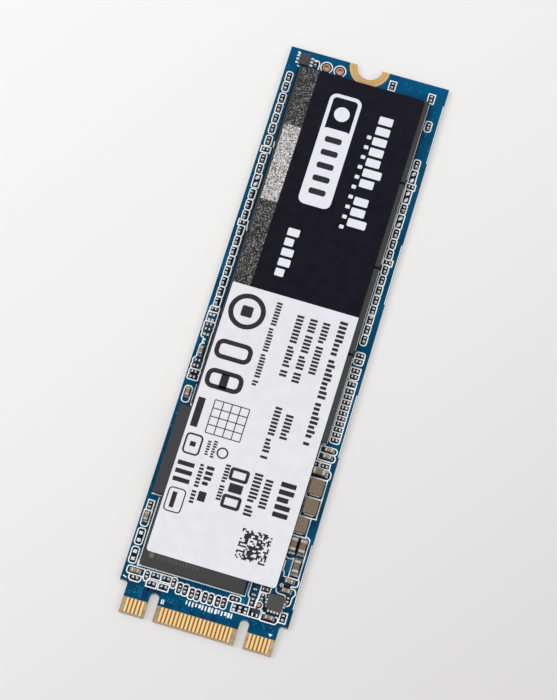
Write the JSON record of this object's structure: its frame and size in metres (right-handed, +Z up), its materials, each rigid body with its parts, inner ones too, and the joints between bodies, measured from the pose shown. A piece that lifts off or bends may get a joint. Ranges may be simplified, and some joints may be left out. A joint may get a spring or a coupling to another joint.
{
  "type": "nvme ssd",
  "caption": "Solid-state drive card with a keyed card edge, half-round screw notch, memory chips under a label film and fine parts along both sides.",
  "frame": {"origin": "centre of the card's underside, where it rests: the middle of the bounding box's base", "axes": "+Y along the card to the screw notch, -Y to the card edge, +X to the right seen from the chips, +Z up out of the chip face"},
  "size_m": [0.022, 0.08, 0.002],
  "materials": {
    "laminate": "bare glass-epoxy laminate, satin",
    "solder_mask": "semi-gloss blue solder mask",
    "gold_plating": "thin gold over nickel, satin",
    "bare_copper": "protected bare copper",
    "tinned_metal": "tin plating and solder, bright",
    "mould_compound": "black epoxy moulding, matt",
    "ceramic_brown": "fired ceramic, satin",
    "ceramic_dark": "dark fired ceramic, satin",
    "resistor_black": "black glaze over ceramic",
    "ferrite": "pressed metal powder, matt",
    "crystal_can": "plated lid on a ceramic base",
    "label_print": "printed film, semi-matt"
  },
  "bodies": {
    "root": {"laminate_core": "laminate", "solder_mask_top": "solder_mask", "solder_mask_bottom": "solder_mask", "screw_notch_ring": "gold_plating", "plated_test_holes": "bare_copper", "round_test_point": "bare_copper", "contact_fingers_top": "gold_plating", "contact_fingers_bottom": "gold_plating", "bare_solder_lands": "tinned_metal", "flash_chip_1": "mould_compound", "flash_chip_2": "mould_compound", "flash_chip_3": "mould_compound", "flash_chip_4": "mould_compound", "controller_chip": "mould_compound", "buffer_memory_chip": "mould_compound", "solder_balls": "tinned_metal", "power_chip": "mould_compound", "power_chip_terminals": "tinned_metal", "temperature_sensor": "mould_compound", "temperature_sensor_leads": "tinned_metal", "load_switch": "mould_compound", "load_switch_leads": "tinned_metal", "clock_crystal": "crystal_can", "small_capacitor_bodies": "ceramic_dark", "small_capacitor_ends": "tinned_metal", "medium_capacitor_bodies": "ceramic_brown", "medium_capacitor_ends": "tinned_metal", "large_capacitor_bodies": "ceramic_brown", "large_capacitor_ends": "tinned_metal", "resistor_bodies": "resistor_black", "resistor_ends": "tinned_metal", "power_inductor_1": "ferrite", "power_inductor_2": "ferrite", "power_inductor_3": "ferrite", "inductor_end_plates": "tinned_metal", "label_film": "label_print"}
  },
  "joints": []
}
